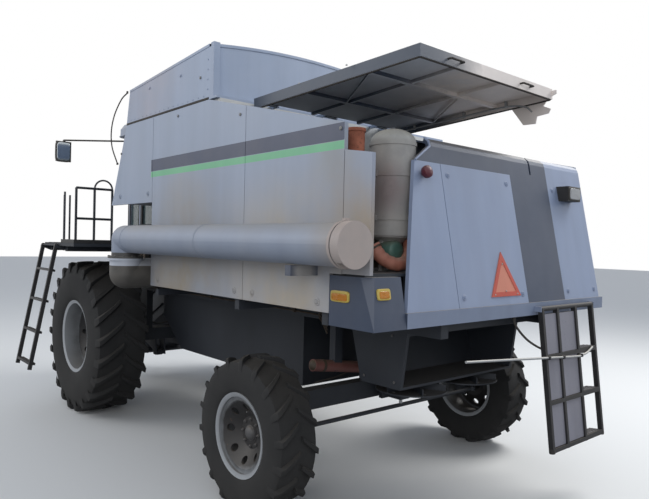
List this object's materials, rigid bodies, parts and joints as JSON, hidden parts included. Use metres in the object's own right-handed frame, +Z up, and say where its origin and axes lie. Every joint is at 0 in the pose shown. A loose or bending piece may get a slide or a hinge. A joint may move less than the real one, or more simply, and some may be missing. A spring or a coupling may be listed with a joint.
{
  "type": "combine harvester",
  "caption": "Rotary combine harvester without its header, engine hood raised, with steered rear wheels, swinging unloading auger, ladders and grain tank.",
  "frame": {"origin": "on the ground, under the middle of the whole machine's box as it is parked", "axes": "+Z up, -Y towards the machine's front, +X towards the operator's left; the front axle is at Y = -1.7136 m and the machine's own middle plane is at X = -0.2713 m"},
  "size_m": [3.8626, 6.7526, 3.85],
  "materials": {
    "frame_paint": "worn satin",
    "rim_paint": "satin",
    "tyre_rubber": "matt, dusty",
    "drive_rubber": "dusty",
    "galvanised_sheet": "dull",
    "silver_paint": "dusty satin",
    "slate_paint": "dusty satin",
    "amber_lens": "gloss",
    "sign_orange": "matt",
    "engine_paint": "oily, dusty",
    "dusty_paint": "dusty",
    "exhaust_rust": "rusted",
    "screen_paint": "dusty",
    "cab_paint": "satin",
    "cab_glazing": "clear, tinted",
    "cab_trim": "matt",
    "ladder_paint": "worn",
    "cylinder_chrome": "polished",
    "black_plastic": "matt",
    "primer_red": "satin"
  },
  "bodies": {
    "machine": {"main_frame": "frame_paint", "frame_posts": "frame_paint", "cross_members": "frame_paint", "engine_deck": "frame_paint", "feeder_bearings": "frame_paint", "axle_bracket": "frame_paint", "front_axle": "frame_paint", "rear_axle": "frame_paint", "separator_housing": "frame_paint", "left_drive": "drive_rubber", "cleaning_shoe": "frame_paint", "discharge_housing": "frame_paint", "grain_tank": "galvanised_sheet", "tank_extension": "silver_paint", "side_panels": "silver_paint", "rear_panels": "silver_paint", "dark_trim": "slate_paint", "marker_lamps": "amber_lens", "slow_sign": "sign_orange", "engine": "engine_paint", "air_cleaner": "dusty_paint", "exhaust_pipe": "exhaust_rust", "radiator_box": "frame_paint", "cab_shell": "cab_paint", "cab_roof": "cab_paint", "cab_glass": "cab_glazing", "cab_interior": "cab_trim", "platform": "frame_paint", "auger_turret": "silver_paint", "mirrors": "black_plastic", "work_lamps": "black_plastic", "accumulator": "primer_red", "fuel_tank": "frame_paint"},
    "wheel_front_left": {"front_rim_left": "rim_paint", "front_tyre_left": "tyre_rubber"},
    "wheel_front_right": {"front_rim_right": "rim_paint", "front_tyre_right": "tyre_rubber"},
    "wheel_rear_left": {"rear_rim_left": "rim_paint", "rear_tyre_left": "tyre_rubber"},
    "wheel_rear_right": {"rear_rim_right": "rim_paint", "rear_tyre_right": "tyre_rubber"},
    "knuckle_left": {"knuckle_left": "frame_paint"},
    "knuckle_right": {"knuckle_right": "frame_paint"},
    "tie_rod": {"tie_rod": "frame_paint"},
    "spreader_left": {"spreader_left": "frame_paint"},
    "spreader_right": {"spreader_right": "frame_paint"},
    "hood": {"hood": "slate_paint"},
    "cab_door": {"cab_door": "frame_paint", "door_glass": "cab_glazing"},
    "front_ladder": {"front_ladder": "frame_paint"},
    "rear_ladder": {"rear_ladder": "ladder_paint"},
    "feeder_house": {"feeder_house": "frame_paint", "feeder_skins": "frame_paint", "feeder_frame": "frame_paint"},
    "lift_barrels": {"lift_barrels": "frame_paint"},
    "lift_rods": {"lift_rods": "cylinder_chrome"},
    "auger": {"auger_tube": "silver_paint", "auger_boot": "dusty_paint"},
    "rotary_screen": {"rotary_screen": "screen_paint"}
  },
  "joints": [
    {"name": "front_wheel_left_spin", "type": "hinge", "parent": "machine", "child": "wheel_front_left", "pos_m": [1.08867, -1.71359, 0.9], "axis": [1, 0, 0], "continuous": true},
    {"name": "front_wheel_right_spin", "type": "hinge", "parent": "machine", "child": "wheel_front_right", "pos_m": [-1.63133, -1.71359, 0.9], "axis": [1, 0, 0], "continuous": true},
    {"name": "steer_left", "type": "hinge", "parent": "machine", "child": "knuckle_left", "pos_m": [0.85867, 1.83641, 0.78], "axis": [0, 0, 1], "range_deg": [-35, 35]},
    {"name": "steer_right", "type": "hinge", "parent": "machine", "child": "knuckle_right", "pos_m": [-1.40133, 1.83641, 0.78], "axis": [0, 0, 1], "range_deg": [-35, 35]},
    {"name": "tie_rod_turn", "type": "hinge", "parent": "knuckle_left", "child": "tie_rod", "pos_m": [0.85867, 2.03641, 0.624], "axis": [0, 0, 1], "range_deg": [-35, 35]},
    {"name": "rear_wheel_left_spin", "type": "hinge", "parent": "knuckle_left", "child": "wheel_rear_left", "pos_m": [1.14867, 1.83641, 0.6], "axis": [1, 0, 0], "continuous": true},
    {"name": "rear_wheel_right_spin", "type": "hinge", "parent": "knuckle_right", "child": "wheel_rear_right", "pos_m": [-1.69133, 1.83641, 0.6], "axis": [1, 0, 0], "continuous": true},
    {"name": "feeder_lift", "type": "hinge", "parent": "machine", "child": "feeder_house", "pos_m": [-0.27133, -1.59359, 1.64], "axis": [-1, 0, 0], "range_deg": [-4, 16]},
    {"name": "lift_barrel_turn", "type": "hinge", "parent": "machine", "child": "lift_barrels", "pos_m": [-0.27133, -1.61359, 0.62], "axis": [-1, 0, 0], "range_deg": [-2, 8]},
    {"name": "lift_rod_slide", "type": "slide", "parent": "lift_barrels", "child": "lift_rods", "axis": [0, -0.9471, 0.3209], "range_m": [-0.067, 0.268]},
    {"name": "auger_swing", "type": "hinge", "parent": "machine", "child": "auger", "pos_m": [1.39867, -0.12359, 1.89], "axis": [0, 0, -1], "range_deg": [0, 95]},
    {"name": "hood_lift", "type": "hinge", "parent": "machine", "child": "hood", "pos_m": [0.02867, 1.36641, 3.29], "axis": [1, 0, 0], "range_deg": [-16.2, 12]},
    {"name": "cab_door_swing", "type": "hinge", "parent": "machine", "child": "cab_door", "pos_m": [0.45267, -1.16209, 2.7], "axis": [0, 0, 1], "range_deg": [0, 85]},
    {"name": "front_ladder_flip", "type": "hinge", "parent": "machine", "child": "front_ladder", "pos_m": [1.65067, -1.71359, 1.99], "axis": [0, -1, 0], "range_deg": [0, 150]},
    {"name": "rear_ladder_flip", "type": "hinge", "parent": "machine", "child": "rear_ladder", "pos_m": [-1.03633, 3.22641, 1.6], "axis": [1, 0, 0], "range_deg": [0, 150]},
    {"name": "spreader_left_spin", "type": "hinge", "parent": "machine", "child": "spreader_left", "pos_m": [0.07867, 2.49641, 0.95], "axis": [0, 0, 1], "continuous": true},
    {"name": "spreader_right_spin", "type": "hinge", "parent": "machine", "child": "spreader_right", "pos_m": [-0.62133, 2.49641, 0.95], "axis": [0, 0, 1], "continuous": true},
    {"name": "screen_spin", "type": "hinge", "parent": "machine", "child": "rotary_screen", "pos_m": [-1.75133, 2.29641, 2.4], "axis": [1, 0, 0], "continuous": true}
  ],
  "couplings": [
    {"joint": "steer_right", "follows": "steer_left", "ratio": 1},
    {"joint": "tie_rod_turn", "follows": "steer_left", "ratio": -1},
    {"joint": "lift_barrel_turn", "follows": "feeder_lift", "ratio": 0.49},
    {"joint": "lift_rod_slide", "follows": "feeder_lift", "m_per_rad": 0.9548}
  ]
}
